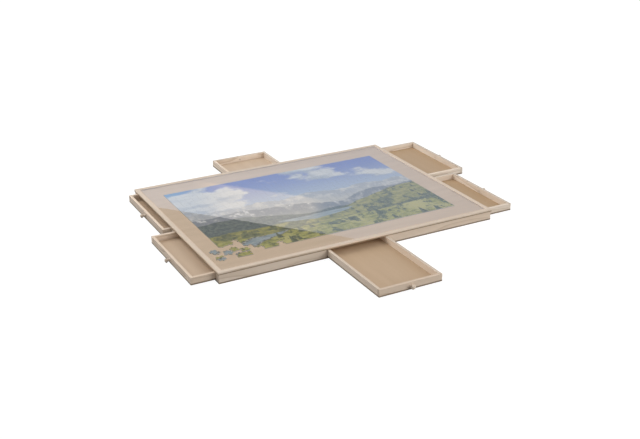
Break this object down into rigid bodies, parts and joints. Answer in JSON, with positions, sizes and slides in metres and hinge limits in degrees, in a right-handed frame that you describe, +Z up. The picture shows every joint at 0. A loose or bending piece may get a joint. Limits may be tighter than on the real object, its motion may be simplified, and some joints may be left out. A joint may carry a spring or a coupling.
{
  "type": "jigsaw puzzle table with drawers",
  "caption": "Low wooden jigsaw puzzle table with a raised rim, clear loose cover and shallow sliding drawers on all four sides.",
  "frame": {"origin": "middle of the table's underside, where it rests", "axes": "+X along the table's length to the right, +Y to the back, +Z up; the side drawers slide along X, the front and back drawers along Y"},
  "size_m": [1.1105, 1.0855, 0.033],
  "materials": {
    "rail_wood": "sanded pale softwood, clear matt lacquer",
    "rim_wood": "sanded pale softwood, clear matt lacquer, rounded edges",
    "drawer_wood": "sanded pale softwood, clear matt lacquer",
    "sheet_wood": "thin veneered sheet with darker sawn edges",
    "knob_wood": "turned pale wood, clear matt lacquer",
    "screw_steel": "zinc plated",
    "printed_card": "printed and die-cut card, semi-gloss face",
    "clear_sheet": "clear smooth glossy sheet"
  },
  "bodies": {
    "table": {"bottom_panel": "sheet_wood", "front_rail_left": "rail_wood", "front_rail_right": "rail_wood", "back_rail_left": "rail_wood", "back_rail_right": "rail_wood", "left_middle_rail": "rail_wood", "right_middle_rail": "rail_wood", "left_stop_rail": "rail_wood", "right_stop_rail": "rail_wood", "left_guide": "rail_wood", "right_guide": "rail_wood", "front_stop": "rail_wood", "back_stop": "rail_wood", "board": "sheet_wood", "front_rim": "rim_wood", "back_rim": "rim_wood", "left_rim": "rim_wood", "right_rim": "rim_wood", "panel_screws": "screw_steel", "puzzle": "printed_card", "loose_pieces": "printed_card"},
    "front_drawer": {"front_drawer_front": "drawer_wood", "front_drawer_back": "drawer_wood", "front_drawer_side_a": "drawer_wood", "front_drawer_side_b": "drawer_wood", "front_drawer_bottom": "sheet_wood", "front_drawer_knob": "knob_wood"},
    "back_drawer": {"back_drawer_front": "drawer_wood", "back_drawer_back": "drawer_wood", "back_drawer_side_a": "drawer_wood", "back_drawer_side_b": "drawer_wood", "back_drawer_bottom": "sheet_wood", "back_drawer_knob": "knob_wood"},
    "left_front_drawer": {"left_front_drawer_front": "drawer_wood", "left_front_drawer_back": "drawer_wood", "left_front_drawer_side_a": "drawer_wood", "left_front_drawer_side_b": "drawer_wood", "left_front_drawer_bottom": "sheet_wood", "left_front_drawer_knob": "knob_wood"},
    "left_back_drawer": {"left_back_drawer_front": "drawer_wood", "left_back_drawer_back": "drawer_wood", "left_back_drawer_side_a": "drawer_wood", "left_back_drawer_side_b": "drawer_wood", "left_back_drawer_bottom": "sheet_wood", "left_back_drawer_knob": "knob_wood"},
    "right_front_drawer": {"right_front_drawer_front": "drawer_wood", "right_front_drawer_back": "drawer_wood", "right_front_drawer_side_a": "drawer_wood", "right_front_drawer_side_b": "drawer_wood", "right_front_drawer_bottom": "sheet_wood", "right_front_drawer_knob": "knob_wood"},
    "right_back_drawer": {"right_back_drawer_front": "drawer_wood", "right_back_drawer_back": "drawer_wood", "right_back_drawer_side_a": "drawer_wood", "right_back_drawer_side_b": "drawer_wood", "right_back_drawer_bottom": "sheet_wood", "right_back_drawer_knob": "knob_wood"},
    "cover": {"clear_cover": "clear_sheet"}
  },
  "joints": [
    {"name": "front_drawer_slide", "type": "slide", "parent": "table", "child": "front_drawer", "axis": [0, -1, 0], "range_m": [-0.2655, 0.0225]},
    {"name": "back_drawer_slide", "type": "slide", "parent": "table", "child": "back_drawer", "axis": [0, 1, 0], "range_m": [-0.14, 0.148]},
    {"name": "left_front_drawer_slide", "type": "slide", "parent": "table", "child": "left_front_drawer", "axis": [-1, 0, 0], "range_m": [-0.069, 0.102]},
    {"name": "left_back_drawer_slide", "type": "slide", "parent": "table", "child": "left_back_drawer", "axis": [-1, 0, 0], "range_m": [-0.0265, 0.1445]},
    {"name": "right_front_drawer_slide", "type": "slide", "parent": "table", "child": "right_front_drawer", "axis": [1, 0, 0], "range_m": [-0.091, 0.08]},
    {"name": "right_back_drawer_slide", "type": "slide", "parent": "table", "child": "right_back_drawer", "axis": [1, 0, 0], "range_m": [-0.1435, 0.0275]},
    {"name": "cover_lift", "type": "slide", "parent": "table", "child": "cover", "axis": [0, 0, 1], "range_m": [0, 0.12]}
  ]
}
